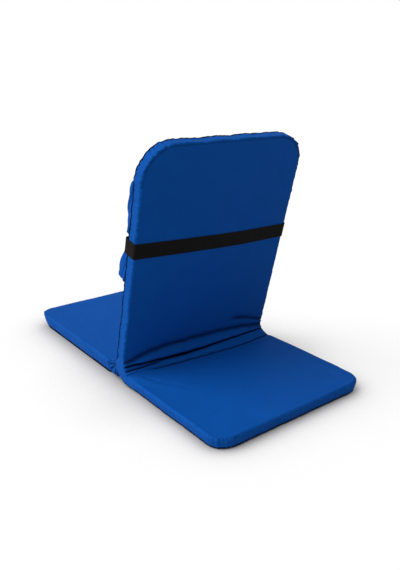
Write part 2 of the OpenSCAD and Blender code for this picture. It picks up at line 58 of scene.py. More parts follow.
# Sizes of the chair, in metres and radians
LEAN = math.radians(15)
HALF_WIDTH = 0.2665
FACE_GAP = 0.001
HINGE_GAP = 0.016
SEAT_GAP = 0.034
NEAR_CORNER = 0.024
BACK_LENGTH = 0.665
BACK_THICK = 0.038
BACK_CORNER = 0.092
REAR_LENGTH = 0.434
REAR_THICK = 0.036
REAR_CORNER = 0.056
SEAT_LENGTH = 0.524
SEAT_THICK = 0.051
SEAT_CORNER = 0.052
CLOTH_UNDER = 0.001
PILLOW_HALF = 0.2575
STRAP_WIDTH = 0.045
STRAP_THICK = 0.0012
TINY = 1e-5

# Each pad starts smaller by SWELL on every side, and no point of it swells further than SWELL_CAP
SWELL = 0.0020
SWELL_CAP = 0.0026
SWELL_PRESSURE = 3.0
SWELL_FRAMES = 20

# Mesh sizes: the pads' and the softer pieces' first grid, and where the pads' edges are made finer
PAD_GRID = 0.006
SOFT_GRID = 0.005
EDGE_REACHES = (0.016, 0.008)

# The panels' own axes: x across, y along the panel from its hinge end, z through its thickness
back_axes = (
    Matrix.Translation(rear_pivot)
    @ Matrix.Rotation(-LEAN, 4, "X")
    @ Matrix.Translation((0, -FACE_GAP, HINGE_GAP))
    @ Matrix.Rotation(math.radians(90), 4, "X")
)
rear_axes = Matrix.Translation((0, rear_pivot.y + HINGE_GAP, 0))
seat_axes = Matrix.Translation((0, seat_pivot.y - SEAT_GAP, 0)) @ Matrix.Rotation(math.radians(180), 4, "Z")
# The back's axes from the rear pivot: x across, y out of its rear face, z up along it
leaning_axes = Matrix.Translation(rear_pivot) @ Matrix.Rotation(-LEAN, 4, "X")

# Directions across the crease, from the back to the rear base, and across the front hinge to the seat
up_back = leaning_axes.to_3x3() @ Vector((0, 0, 1))
to_rear = (Vector((0, 1, 0)) - up_back).normalized()
crease_out = (Vector((0, 1, 0)) + up_back).normalized()
CREASE_SLOPE = to_rear.y


# Picking and shaping meshes

def pick_none():
    bpy.ops.object.select_all(action="DESELECT")


def work_on(obj):
    pick_none()
    obj.select_set(True)
    bpy.context.view_layer.objects.active = obj


def apply_all(obj):
    work_on(obj)
    bpy.ops.object.transform_apply(location=True, rotation=True, scale=True)


def pick_edges(obj, wanted):
    """In edit mode, picks the edges whose two ends wanted() accepts."""
    bpy.ops.mesh.select_all(action="DESELECT")
    mesh = bmesh.from_edit_mesh(obj.data)
    for edge in mesh.edges:
        edge.select_set(bool(wanted(edge.verts[0].co, edge.verts[1].co)))
    bmesh.update_edit_mesh(obj.data)


def bevel_edges(obj, wanted, width, segments):
    """Rounds the edges whose two ends wanted() accepts."""
    work_on(obj)
    bpy.ops.object.mode_set(mode="EDIT")
    bpy.ops.mesh.select_mode(type="EDGE")
    pick_edges(obj, wanted)
    bpy.ops.mesh.bevel(offset=width, segments=segments, affect="EDGES")
    bpy.ops.object.mode_set(mode="OBJECT")


CORNER_STEPS = 12
EDGE_STEPS = 5
END_STEPS = 4


def pad_block(name, size, corners, rounds, undercut):
    """A panel's block in its own axes, drawn in below by undercut, with round corners and edges."""
    width, length, thick = size
    near_corner, far_corner = corners
    low_round, high_round = rounds
    pick_none()
    bpy.ops.mesh.primitive_cube_add(size=1, location=(0, length / 2, thick / 2))
    obj = bpy.context.active_object
    obj.name = name
    obj.scale = size
    apply_all(obj)

    def upright(a, b):
        return abs(a.z - b.z) > thick / 2

    bevel_edges(obj, lambda a, b: upright(a, b) and a.y > length - TINY, far_corner, CORNER_STEPS)
    bevel_edges(obj, lambda a, b: upright(a, b) and a.y < TINY, near_corner, CORNER_STEPS // 2)
    for vertex in obj.data.vertices:
        if vertex.co.z < TINY:
            vertex.co.x *= 1 - undercut / (width / 2)
            vertex.co.y = length / 2 + (vertex.co.y - length / 2) * (1 - undercut / (length / 2))
    bevel_edges(obj, lambda a, b: min(a.z, b.z) > thick - TINY, high_round, EDGE_STEPS)
    bevel_edges(obj, lambda a, b: max(a.z, b.z) < TINY, low_round, EDGE_STEPS)
    return obj


def swollen_start(width, length, thick):
    """Size of the block from which a pad swells to width, length and thick."""
    return (2 * width - 2 * SWELL, length - 2 * SWELL, thick - 2 * SWELL)


def ring_of(name, points, fill):
    """A closed ring through the points, open or filled with one face."""
    pick_none()
    bpy.ops.mesh.primitive_circle_add(vertices=len(points), radius=1, fill_type=fill)
    obj = bpy.context.active_object
    obj.name = name
    for vertex, p in zip(obj.data.vertices, points):
        vertex.co = p
    work_on(obj)
    return obj


def prism(name, outline, half_width, end_round):
    """A bar across the chair whose section is outline, as (y, z) points."""
    obj = ring_of(name, [(-half_width, y, z) for y, z in outline], "NGON")
    bpy.ops.object.mode_set(mode="EDIT")
    bpy.ops.mesh.select_all(action="SELECT")
    bpy.ops.mesh.extrude_region_move(TRANSFORM_OT_translate={"value": (2 * half_width, 0, 0)})
    bpy.ops.mesh.select_all(action="SELECT")
    bpy.ops.mesh.normals_make_consistent(inside=False)
    bpy.ops.object.mode_set(mode="OBJECT")
    ends = half_width - TINY
    bevel_edges(obj, lambda a, b: min(abs(a.x), abs(b.x)) > ends and a.x * b.x > 0, end_round, END_STEPS)
    return obj


def place(obj, axes):
    obj.data.transform(axes)
    obj.data.update()
    return obj


def join(name, *parts):
    pick_none()
    for part in parts:
        part.select_set(True)
    bpy.context.view_layer.objects.active = parts[0]
    bpy.ops.object.join()
    parts[0].name = name
    parts[0].data.name = name
    return parts[0]


def add_applied(obj, kind, **settings):
    work_on(obj)
    modifier = obj.modifiers.new(kind.lower(), kind)
    for key, value in settings.items():
        setattr(modifier, key, value)
    bpy.ops.object.modifier_apply(modifier=modifier.name)


def remesh(obj, voxel, smooth_steps):
    add_applied(obj, "REMESH", mode="VOXEL", voxel_size=voxel)
    if smooth_steps:
        add_applied(obj, "SMOOTH", factor=0.5, iterations=smooth_steps)


def subdivide(obj, levels=1):
    add_applied(obj, "SUBSURF", levels=levels, render_levels=levels)


def refine(obj, wanted):
    """Splits the faces whose middles wanted() accepts, so that fine folds have points to stand on."""
    faces = obj.data.polygons
    middles = np.empty(len(faces) * 3)
    faces.foreach_get("center", middles)
    chosen = wanted(middles.reshape(-1, 3))
    bpy.context.tool_settings.mesh_select_mode = (False, False, True)
    work_on(obj)
    bpy.ops.object.mode_set(mode="EDIT")
    bpy.ops.mesh.select_all(action="DESELECT")
    bpy.ops.object.mode_set(mode="OBJECT")
    faces.foreach_set("select", chosen)
    bpy.ops.object.mode_set(mode="EDIT")
    bpy.ops.mesh.subdivide(number_cuts=1)
    bpy.ops.object.mode_set(mode="OBJECT")


def points_of(obj):
    co = np.empty(len(obj.data.vertices) * 3)
    obj.data.vertices.foreach_get("co", co)
    return co.reshape(-1, 3)


def normals_of(obj):
    out = np.empty(len(obj.data.vertices) * 3)
    obj.data.vertices.foreach_get("normal", out)
    return out.reshape(-1, 3)


def set_points(obj, co):
    obj.data.vertices.foreach_set("co", np.ascontiguousarray(co).ravel())
    obj.data.update()


def press_out(obj, stiffness=15.0):
    """Swells a stuffed cover by a short cloth simulation; no point moves further than SWELL_CAP."""
    before = points_of(obj)
    scene = bpy.context.scene
    work_on(obj)
    cloth = obj.modifiers.new("cloth", "CLOTH")
    settings = cloth.settings
    settings.quality = 5
    settings.mass = 0.3
    settings.tension_stiffness = stiffness
    settings.compression_stiffness = stiffness
    settings.shear_stiffness = stiffness / 3
    settings.bending_stiffness = 0.5
    settings.use_pressure = True
    settings.uniform_pressure_force = SWELL_PRESSURE
    settings.effector_weights.gravity = 0
    cloth.collision_settings.use_collision = False
    cloth.point_cache.frame_start = 1
    cloth.point_cache.frame_end = SWELL_FRAMES
    for step in range(1, SWELL_FRAMES + 1):
        scene.frame_set(step)
    work_on(obj)
    bpy.ops.object.modifier_apply(modifier=cloth.name)
    scene.frame_set(1)
    move = points_of(obj) - before
    length = np.linalg.norm(move, axis=1)
    share = np.where(length > SWELL_CAP, SWELL_CAP / np.maximum(length, 1e-9), 1.0)
    set_points(obj, before + move * share[:, None])


def outline_gap(x, y, size, corners):
    """Distance outside a pad's rounded outline; negative inside it."""
    half_width, length = size
    near_corner, far_corner = corners
    corner = np.where(y > length / 2, far_corner, near_corner)
    past_x = np.abs(x) - (half_width - corner)
    past_y = np.abs(y - length / 2) - (length / 2 - corner)
    outside = np.hypot(np.maximum(past_x, 0), np.maximum(past_y, 0))
    return outside + np.minimum(np.maximum(past_x, past_y), 0) - corner


class PadShape:
    """A pad's exact form in its own axes, with its two edges rounded and its foot drawn in."""

    FACE_HOLD = 0.35
    EDGE_REACH = 0.012
    END_FADE = 0.03

    def __init__(self, axes, size, corners, edges, undercut, firm_from):
        self.axes = axes
        self.half_width, self.length, self.low, self.high = size
        self.corners = corners
        self.edges = edges
        self.undercut = undercut
        self.firm_from = firm_from

    def gaps(self, local):
        """How far points lie outside the side wall, and outside the faces."""
        flat = outline_gap(local[:, 0], local[:, 1], (self.half_width, self.length), self.corners)
        up = np.clip((local[:, 2] - self.low) / (self.high - self.low), 0, 1)
        middle = (self.low + self.high) / 2
        rise = np.abs(local[:, 2] - middle) - (self.high - self.low) / 2
        return flat + self.undercut * (1 - up) ** 1.2, rise

    def outside(self, local):
        flat, rise = self.gaps(local)
        edge = np.where(local[:, 2] > (self.low + self.high) / 2, self.edges[1], self.edges[0])
        a = flat + edge
        b = rise + edge
        return np.minimum(np.maximum(a, b), 0) + np.hypot(np.maximum(a, 0), np.maximum(b, 0)) - edge

    def near_edge(self, co, reach):
        local = in_axes(co, self.axes)
        flat, rise = self.gaps(local)
        return (np.abs(flat) < reach) & (np.abs(rise) < reach) & (local[:, 1] > self.firm_from)

    def firm(self, obj, mine):
        """Draws a swollen pad onto its form: fully along its edges, in part over its faces."""
        co = points_of(obj)
        local = in_axes(co, self.axes)
        for _ in range(3):
            gap = self.outside(local)
            slope = [(self.outside(local + TINY * axis) - gap) / TINY for axis in np.eye(3)]
            slope = np.stack(slope, axis=1)
            slope /= np.maximum(np.linalg.norm(slope, axis=1), 1e-6)[:, None]
            flat, rise = self.gaps(local)
            far_in = np.maximum(-flat, -rise)
            hold = self.FACE_HOLD + (1 - self.FACE_HOLD) * np.exp(-(far_in / self.EDGE_REACH) ** 2)
            hold *= mine(co) * step_up((local[:, 1] - self.firm_from + self.END_FADE) / self.END_FADE)
            local -= slope * (hold * gap)[:, None]
        set_points(obj, out_of_axes(local, self.axes))


def in_axes(co, axes):
    m = np.array(axes.inverted())
    return co @ m[:3, :3].T + m[:3, 3]


def out_of_axes(co, axes):
    m = np.array(axes)
    return co @ m[:3, :3].T + m[:3, 3]


def smooth_shade(obj):
    work_on(obj)
    bpy.ops.object.shade_smooth()


# Waves with fixed phases stand for the uneven pull of thread and cloth

def uneven(t, lengths, seed):
    total = np.zeros_like(t)
    for i, wave in enumerate(lengths):
        total += np.sin(2 * math.pi * t / wave + 1.7 * (i + 1) * seed + 0.9 * i)
    return total / len(lengths)


def step_up(t):
    t = np.clip(t, 0, 1)
    return t * t * (3 - 2 * t)


def hill(t, low, high):
    """Smooth hill from low to high, 1 in the middle; low and high may vary from point to point."""
    k = np.clip((t - low) / (high - low), 0, 1)
    return np.sin(math.pi * k) ** 2


def follow(x, stations):
    """A line across the chair through given stations, as (x, value) from its right side to its left."""
    xs, values = zip(*stations)
    spread = (-0.03, -0.015, 0, 0.015, 0.03)
    return sum(np.interp(x + shift, xs, values) for shift in spread) / len(spread)


# Seams

SEAM_STEP = 0.0015
# How far the painted shade along a seam reaches
SEAM_SHADE_REACH = 0.0026


def arc(centre, radius, first, last, steps):
    """Points (x, y) on an arc from the angle first to last, in degrees."""
    turns = [math.radians(first + (last - first) * i / steps) for i in range(steps + 1)]
    return [(centre[0] + radius * math.cos(a), centre[1] + radius * math.sin(a)) for a in turns]


def edge_path(axes, size, corners, height, start):
    """Points along a pad's edge, from one side's hinge end round the far edge to the other's."""
    half_width, length = size
    near_corner, far_corner = corners
    near_arc = arc((half_width - near_corner, near_corner), near_corner, -90, 0, 12)
    side = [p for p in near_arc if p[1] >= start]
    side += arc((half_width - far_corner, length - far_corner), far_corner, 0, 90, 24)
    outline = side + [(-x, y) for x, y in reversed(side)]
    return spaced([axes @ Vector((x, y, height)) for x, y in outline], SEAM_STEP)


def run_of(line):
    """Distance along the line at each of its points."""
    return np.concatenate([[0], np.cumsum(np.linalg.norm(np.diff(line, axis=0), axis=1))])


def spaced(points, step):
    """The same line with a point every step."""
    line = np.array([list(p) for p in points])
    run = run_of(line)
    at = np.linspace(0, run[-1], max(2, int(run[-1] / step)))
    return np.stack([np.interp(at, run, line[:, i]) for i in range(3)], axis=1)


def close_to(co, line, margin):
    """Indexes of the points inside the line's box or within margin of it."""
    inside = (co > line.min(axis=0) - margin) & (co < line.max(axis=0) + margin)
    return np.flatnonzero(inside.all(axis=1))


def near_line(co, line):
    """Distance of each point from the line, and how far along the line it lies."""
    tree = KDTree(len(line))
    for i, p in enumerate(line):
        tree.insert(p, i)
    tree.balance()
    run = run_of(line)
    tangent = np.gradient(line, axis=0)
    tangent /= np.linalg.norm(tangent, axis=1)[:, None]
    index = np.array([tree.find(p)[1] for p in co])
    offset = co - line[index]
    along = (offset * tangent[index]).sum(axis=1)
    away = np.linalg.norm(offset - along[:, None] * tangent[index], axis=1)
    return away, run[index] + along


def sew(obj, line, depth, width, pucker, pitch, seed):
    """Draws a seam into obj: a narrow groove, with small puckers that run out of it."""
    co = points_of(obj)
    near = close_to(co, line, 8 * width)
    away, along = near_line(co[near], line)
    groove = depth * np.exp(-(away / width) ** 2)
    wave = 0.5 + 0.5 * np.sin(2 * math.pi * along / pitch + 2.5 * uneven(along, (0.083, 0.131), seed))
    strength = 0.6 + 0.4 * uneven(along, (0.17, 0.29), seed + 3)
    fade = np.exp(-away / (3.2 * width)) * step_up(away / width)
    sink = groove + pucker * wave * strength * fade
    co[near] -= normals_of(obj)[near] * sink[:, None]
    set_points(obj, co)


def shade_seams(obj, shade, *seams):
    """Paints shade along folds and seams: stores how strongly each point is darkened, each seam with its own
    strength.
    """
    co = points_of(obj)
    shade = shade + np.zeros(len(co))
    for line, strength in seams:
        near = close_to(co, line, 0.01)
        away, _ = near_line(co[near], line)
        shade[near] = np.maximum(shade[near], strength * np.exp(-(away / SEAM_SHADE_REACH) ** 2))
    layer = obj.data.attributes.new("painted_shade", "FLOAT", "POINT")
    layer.data.foreach_set("value", shade)


def sewn_cord(name, cover, line, radius, closed, seed):
    """A dark seam binding that lies along line, half sunk into the cover; its darkness is partly painted shade of
    the seam's gap.
    """
    centres = []
    run = run_of(line)
    waver = 0.35 * radius * uneven(run, (0.021, 0.034, 0.055), seed)
    for p, shift in zip(line, waver):
        _, spot, normal, _ = cover.closest_point_on_mesh(Vector(p))
        centres.append(spot + normal * (0.15 * radius + shift))
    centres = np.array([list(p) for p in centres])
    for _ in range(6):
        if closed:
            centres = (np.roll(centres, 1, axis=0) + centres * 2 + np.roll(centres, -1, axis=0)) / 4
        else:
            centres[1:-1] = (centres[:-2] + centres[1:-1] * 2 + centres[2:]) / 4
    curve = bpy.data.curves.new(name, "CURVE")
    curve.dimensions = "3D"
    curve.bevel_depth = radius
    curve.bevel_resolution = 2
    curve.use_fill_caps = not closed
    spline = curve.splines.new("POLY")
    spline.points.add(len(centres) - 1)
    spline.points.foreach_set("co", np.concatenate([centres, np.ones((len(centres), 1))], axis=1).ravel())
    spline.use_cyclic_u = closed
    obj = bpy.data.objects.new(name, curve)
    bpy.context.scene.collection.objects.link(obj)
    work_on(obj)
    bpy.ops.object.convert(target="MESH")
    return bpy.context.active_object


# Materials

def new_material(name):
    material = bpy.data.materials.new(name)
    material.use_nodes = True
    tree = material.node_tree
    return material, tree, tree.nodes["Principled BSDF"]


def put_material(obj, material):
    obj.data.materials.clear()
    obj.data.materials.append(material)


def math_node(tree, operation, a, b=None):
    node = tree.nodes.new("ShaderNodeMath")
    node.operation = operation
    for socket, value in zip(node.inputs, (a, b)):
        if value is None:
            continue
        if isinstance(value, (int, float)):
            socket.default_value = value
        else:
            tree.links.new(value, socket)
    return node.outputs[0]


def color_mix(tree, factor, a, b):
    """Mixes two colours, each of them a value or a socket."""
    node = tree.nodes.new("ShaderNodeMix")
    node.data_type = "RGBA"
    tree.links.new(factor, node.inputs["Factor"])
    for name, value in (("A", a), ("B", b)):
        if isinstance(value, tuple):
            node.inputs[name].default_value = value
        else:
            tree.links.new(value, node.inputs[name])
    return node.outputs["Result"]


def marked(tree, name):
    """What a mesh attribute of that name says."""
    node = tree.nodes.new("ShaderNodeAttribute")
    node.attribute_name = name
    return node


def add_bumps(tree, shader, height, distance):
    bump = tree.nodes.new("ShaderNodeBump")
    bump.inputs["Distance"].default_value = distance
    bump.inputs["Strength"].default_value = 1
    tree.links.new(height, bump.inputs["Height"])
    tree.links.new(bump.outputs["Normal"], shader.inputs["Normal"])


def noise(tree, vector, scale, detail):
    node = tree.nodes.new("ShaderNodeTexNoise")
    node.inputs["Scale"].default_value = scale
    node.inputs["Detail"].default_value = detail
    tree.links.new(vector, node.inputs["Vector"])
    return node.outputs["Fac"]


def woven_group():
    """Plain weave and the soft unevenness of cloth: gives a colour and a height in metres."""
    group = bpy.data.node_groups.new("woven_cloth", "ShaderNodeTree")
    for name, way, kind in (
            ("Vector", "INPUT", "Vector"), ("Dark", "INPUT", "Color"), ("Light", "INPUT", "Color"),
            ("Thread Turns", "INPUT", "Float"), ("Thread Height", "INPUT", "Float"),
            ("Wrinkle Height", "INPUT", "Float"),
            ("Color", "OUTPUT", "Color"), ("Height", "OUTPUT", "Float")):
        group.interface.new_socket(name, in_out=way, socket_type="NodeSocket" + kind)
    start = group.nodes.new("NodeGroupInput")
    end = group.nodes.new("NodeGroupOutput")
    place_in = start.outputs["Vector"]
    split = group.nodes.new("ShaderNodeSeparateXYZ")
    group.links.new(place_in, split.inputs[0])
    turns = start.outputs["Thread Turns"]
    turned = [math_node(group, "MULTIPLY", split.outputs[i], turns) for i in range(3)]
    waves = [math_node(group, "SINE", turn) for turn in turned]
    pairs = [math_node(group, "MULTIPLY", waves[a], waves[b]) for a, b in ((0, 1), (1, 2), (0, 2))]
    weave = math_node(group, "ADD", math_node(group, "ADD", pairs[0], pairs[1]), pairs[2])
    broad = noise(group, place_in, 17, 3)
    creased = noise(group, place_in, 60, 4)
    fine = noise(group, place_in, 420, 2)
    tint = math_node(group, "MULTIPLY", broad, 0.55)
    tint = math_node(group, "ADD", tint, math_node(group, "MULTIPLY", fine, 0.45))
    tint = math_node(group, "ADD", tint, math_node(group, "MULTIPLY", weave, 0.08))
    color = color_mix(group, tint, start.outputs["Dark"], start.outputs["Light"])
    group.links.new(color, end.inputs["Color"])
    soft = math_node(group, "ADD", broad, math_node(group, "MULTIPLY", creased, 0.3))
    soft = math_node(group, "MULTIPLY", soft, start.outputs["Wrinkle Height"])
    threads = math_node(group, "MULTIPLY", weave, start.outputs["Thread Height"])
    group.links.new(math_node(group, "ADD", threads, soft), end.inputs["Height"])
    return group


WOVEN = woven_group()
# How dark the painted shade in folds and seams makes the cloth, as a share of its dark colour
PAINTED_SHADE_DARKNESS = 0.10


def cloth_material(name, dark, light, pitch, wrinkle, roughness, gloss, sheen=0.0):
    """Cloth whose threads follow the cloth_place attribute; pitch is the width of a thread; painted shade darkens
    it in folds and seams.
    """
    material, tree, shader = new_material(name)
    weave = tree.nodes.new("ShaderNodeGroup")
    weave.node_tree = WOVEN
    tree.links.new(marked(tree, "cloth_place").outputs["Vector"], weave.inputs["Vector"])
    weave.inputs["Dark"].default_value = (*dark, 1)
    weave.inputs["Light"].default_value = (*light, 1)
    weave.inputs["Thread Turns"].default_value = math.pi / pitch
    weave.inputs["Thread Height"].default_value = 0.06 * pitch
    weave.inputs["Wrinkle Height"].default_value = wrinkle
    add_bumps(tree, shader, weave.outputs["Height"], 1)
    # Painted shade: where the mesh mark is set, the colour goes towards a near-black of the cloth's dark colour
    painted_shade_color = (*(PAINTED_SHADE_DARKNESS * c for c in dark), 1)
    color = color_mix(tree, marked(tree, "painted_shade").outputs["Fac"], weave.outputs["Color"], painted_shade_color)
    tree.links.new(color, shader.inputs["Base Color"])
    shader.inputs["Roughness"].default_value = roughness
    shader.inputs["Specular IOR Level"].default_value = gloss
    shader.inputs["Sheen Weight"].default_value = sheen
    shader.inputs["Sheen Roughness"].default_value = 0.5
    shader.inputs["Sheen Tint"].default_value = (0.1, 0.3, 1, 1)
    return material


def mark_cloth(obj, places):
    layer = obj.data.attributes.new("cloth_place", "FLOAT_VECTOR", "POINT")
    layer.data.foreach_set("vector", np.ascontiguousarray(places).ravel())


def dress(obj, places, material):
    """Gives a piece its cloth places, its material and smooth shading."""
    mark_cloth(obj, places)
    put_material(obj, material)
    smooth_shade(obj)


def steel_material(name, color, roughness, metallic, brush):
    """Steel with fine brushing and faint smudges; brush is how strongly its grain shows."""
    material, tree, shader = new_material(name)
    place_node = tree.nodes.new("ShaderNodeTexCoord")
    grain = tree.nodes.new("ShaderNodeMapping")
    grain.inputs["Scale"].default_value = (1, 14, 1)
    tree.links.new(place_node.outputs["Object"], grain.inputs["Vector"])
    lines = noise(tree, grain.outputs["Vector"], 320, 3)
    smudge = noise(tree, place_node.outputs["Object"], 90, 3)
    tint = color_mix(tree, smudge, (*(0.75 * c for c in color), 1), (*color, 1))
    tree.links.new(tint, shader.inputs["Base Color"])
    rough = math_node(tree, "ADD", math_node(tree, "MULTIPLY", lines, 0.25), roughness - 0.12)
    tree.links.new(rough, shader.inputs["Roughness"])
    add_bumps(tree, shader, lines, brush)
    shader.inputs["Metallic"].default_value = metallic
    return material


blue_cloth = cloth_material("royal_blue_cloth", dark=(0.0016, 0.066, 0.31), light=(0.0034, 0.092, 0.42),
                            pitch=0.00045, wrinkle=0.0012, roughness=0.7, gloss=0.045, sheen=0.015)
# A real seam cord whose near-black colour also paints the shade in the gap along the seam
seam_binding = cloth_material("seam_binding_and_painted_shade", dark=(0.0006, 0.004, 0.022), light=(0.0012, 0.008, 0.045),
                              pitch=0.0005, wrinkle=0.0002, roughness=0.8, gloss=0.05)
black_cloth = cloth_material("black_non_slip_cloth", dark=(0.005, 0.005, 0.006), light=(0.013, 0.013, 0.015),
                             pitch=0.0011, wrinkle=0.0004, roughness=0.85, gloss=0.06)
elastic = cloth_material("black_elastic", dark=(0.0055, 0.005, 0.0048), light=(0.0125, 0.0115, 0.011),
                         pitch=0.0009, wrinkle=0.0001, roughness=0.75, gloss=0.05)
steel_finishes = {
    "frame_steel": steel_material("black_painted_steel", (0.03, 0.03, 0.03), roughness=0.42, metallic=0.0,
                                  brush=0.00002),
    "hinge_steel": steel_material("zinc_plated_steel", (0.45, 0.45, 0.47), roughness=0.38, metallic=1.0,
                                  brush=0.00003),
    "rivet_steel": steel_material("bright_rivet_steel", (0.62, 0.62, 0.64), roughness=0.3, metallic=1.0,
                                  brush=0.00001),
}
for row in frame["record"]["subparts"]:
    if row["material_slot"] in steel_finishes:
        put_material(frame["nodes"][row["node"]], steel_finishes[row["material_slot"]])


# Folds of the long cover where the back meets the rear base. Each line is given at stations
# across the chair, as (x, distance over the crease), with the back's side negative.
UPPER_FOLD = (
    (-0.26, -0.016), (-0.18, -0.032), (-0.12, -0.042), (0, -0.049), (0.13, -0.055), (0.19, -0.050),
    (0.26, -0.031))
SLIT = (
    (-0.26, 0), (-0.1, -0.002), (0.03, 0), (0.09, -0.003), (0.13, -0.009), (0.18, -0.015), (0.26, -0.020))
LOWER_FOLD = (
    (-0.24, 0.049), (-0.17, 0.055), (-0.12, 0.056), (0, 0.047), (0.06, 0.042), (0.15, 0.034), (0.26, 0.021))
SIDE_FOLD = ((0.12, 0.003), (0.15, 0.004), (0.19, 0.006), (0.26, 0.003))
FAR_FOLD = ((-0.26, -0.040), (-0.23, -0.051), (-0.19, -0.069), (-0.12, -0.083))

# How far the folds stand out, and how deep the slit between them is, how far its painted shade reaches and how
# wide it is, as (x, metres)
ROLL_HEIGHT = (
    (-0.27, 0.001), (-0.24, 0.004), (-0.17, 0.010), (0, 0.015), (0.1, 0.014), (0.2, 0.010), (0.265, 0.003))
SLIT_DEPTH = (
    (-0.265, 0.002), (-0.22, 0.006), (0, 0.013), (0.09, 0.015), (0.16, 0.012), (0.23, 0.008), (0.265, 0.006))
SLIT_SHADE = (
    (-0.26, 0.005), (-0.12, 0.009), (-0.02, 0.015), (0.05, 0.0195), (0.10, 0.018), (0.16, 0.011),
    (0.26, 0.0065))
SLIT_WIDTH = (
    (-0.26, 0.0030), (-0.1, 0.0042), (0.04, 0.0072), (0.09, 0.0085), (0.14, 0.0060), (0.26, 0.0036))

# Depth and reach of the grooves along the other folds
UPPER_GROOVE = 0.0060
UPPER_REACH = 0.0065
LOWER_GROOVE = 0.0050
LOWER_REACH = 0.0042
SIDE_GROOVE = 0.0060
SIDE_REACH = 0.0030
SIDE_ROLL = 0.0030
FAR_GROOVE = 0.0055
FAR_REACH = 0.0065

# The fold below the slit, as a share of the roll above it, and how far that roll's lip hangs over the slit
SHELF_SHARE = 0.45
LIP = 0.0035

# Puckers at both ends of the crease, and how far its far end is drawn in
END_PUCKER = 0.0012
END_PITCH = 0.012
DRAWN_IN = 0.0050

# A slack crease over the rear base, from the near hinge towards its middle, as (x, distance over the crease)
SLACK_CREASE = ((0.231, 0.036), (0.218, 0.071), (0.201, 0.116), (0.165, 0.176), (0.128, 0.226))
SLACK_DEPTH = 0.0022
SLACK_RISE = 0.0016


def crease_run(co):
    """How far over the crease a point lies: negative up the back, positive over the rear base."""
    return (co - np.array(rear_pivot)) @ np.array(to_rear) / CREASE_SLOPE


def beside(run, line, reach):
    """1 on the line and falling away on both sides of it."""
    return np.exp(-np.abs(run - line) / reach)


def fold_crease(obj):
    """Shapes the folds in the crease, and returns the painted shade for each point of them."""
    co = points_of(obj)
    normals = normals_of(obj)
    x = co[:, 0]
    run = crease_run(co)
    outer = step_up((normals @ np.array(crease_out) - 0.1) / 0.4)
    upper = follow(x, UPPER_FOLD) + 0.0015 * uneven(x, (0.09, 0.05), 2)
    slit = follow(x, SLIT) + 0.0010 * uneven(x, (0.07, 0.04), 5)
    lower = follow(x, LOWER_FOLD) + 0.0012 * uneven(x, (0.08, 0.045), 8)
    height = follow(x, ROLL_HEIGHT)
    roll = np.clip((run - upper) / (slit - upper), 0, 1)
    lift = height * np.sin(math.pi * roll ** 1.4) ** 1.2
    shelf = np.clip((run - slit) / (lower - slit), 0, 1)
    lift += SHELF_SHARE * height * np.sin(math.pi * shelf ** 0.8) ** 1.2
    lift -= follow(x, SLIT_DEPTH) * np.exp(-(np.abs(run - slit) / follow(x, SLIT_WIDTH)) ** 1.4)
    lift -= UPPER_GROOVE * (1 - x) * beside(run, upper, UPPER_REACH)
    lower_fade = step_up((0.20 - x) / 0.08) * step_up((x + 0.27) / 0.05)
    lift -= LOWER_GROOVE * beside(run, lower, LOWER_REACH) * lower_fade
    side = follow(x, SIDE_FOLD)
    near_side = step_up((x - 0.13) / 0.04)
    lift -= SIDE_GROOVE * near_side * beside(run, side, SIDE_REACH)
    lift += SIDE_ROLL * near_side * hill(run, side + 0.001, side + 0.022)
    far_side = step_up((-0.10 - x) / 0.06)
    far = follow(x, FAR_FOLD)
    lift -= FAR_GROOVE * far_side * beside(run, far, FAR_REACH)
    end = np.exp(-((HALF_WIDTH - np.abs(x)) / 0.035) ** 2)
    ripple = np.sin(run * 2 * math.pi / END_PITCH + 6 * x / HALF_WIDTH)
    lift += END_PUCKER * end * hill(run, -0.055, 0.050) * ripple
    lip = LIP * hill(run, slit - 0.024, slit + 0.0015) * step_up((HALF_WIDTH - np.abs(x)) / 0.06)
    co += normals * (outer * lift)[:, None]
    co += np.array(to_rear) * (outer * lip)[:, None]
    # The far end is drawn in where the folds run together
    co[:, 0] += DRAWN_IN * step_up((-x - 0.19) / 0.07) * np.exp(-((run + 0.008) / 0.045) ** 2)
    set_points(obj, co)
    slit_shade = follow(x, SLIT_SHADE)
    shade = np.zeros(len(x))
    # Painted shade along each fold: its line, how strong the shade is, and how far it reaches on the back's side
    # and on the other
    for line, strength, above, below in (
            (slit + 0.001, 1, 0.45 * slit_shade, slit_shade),
            (upper, 0.72, 0.015, 0.006),
            (lower, 0.85 * step_up((0.22 - x) / 0.06), 0.0045, 0.0040),
            (side, 0.95 * near_side, 0.0035, 0.0050),
            (far, 0.7 * far_side, 0.012, 0.006)):
        away = run - line
        reach = np.where(away < 0, above, below)
        shade = np.maximum(shade, strength * np.exp(-np.abs(away / reach) ** 2.5))
    return shade * outer * step_up((HALF_WIDTH + 0.004 - np.abs(x)) / 0.01)


CORNER_FULLER = 0.0035


def square_corner(obj):
    """The back's right top corner is cut a little fuller than its left one."""
    local = in_axes(points_of(obj), back_axes)
    far = HALF_WIDTH - BACK_CORNER
    up = BACK_LENGTH - BACK_CORNER
    turn = np.arctan2(local[:, 1] - up, -local[:, 0] - far)
    reach = np.hypot(local[:, 1] - up, -local[:, 0] - far)
    fuller = CORNER_FULLER * hill(turn, -0.25, 1.35) * step_up(reach / BACK_CORNER) * (-local[:, 0] > far)
    fuller *= local[:, 1] > up - 0.06
    local[:, 0] -= fuller * np.cos(turn)
    local[:, 1] += fuller * np.sin(turn)
    set_points(obj, out_of_axes(local, back_axes))


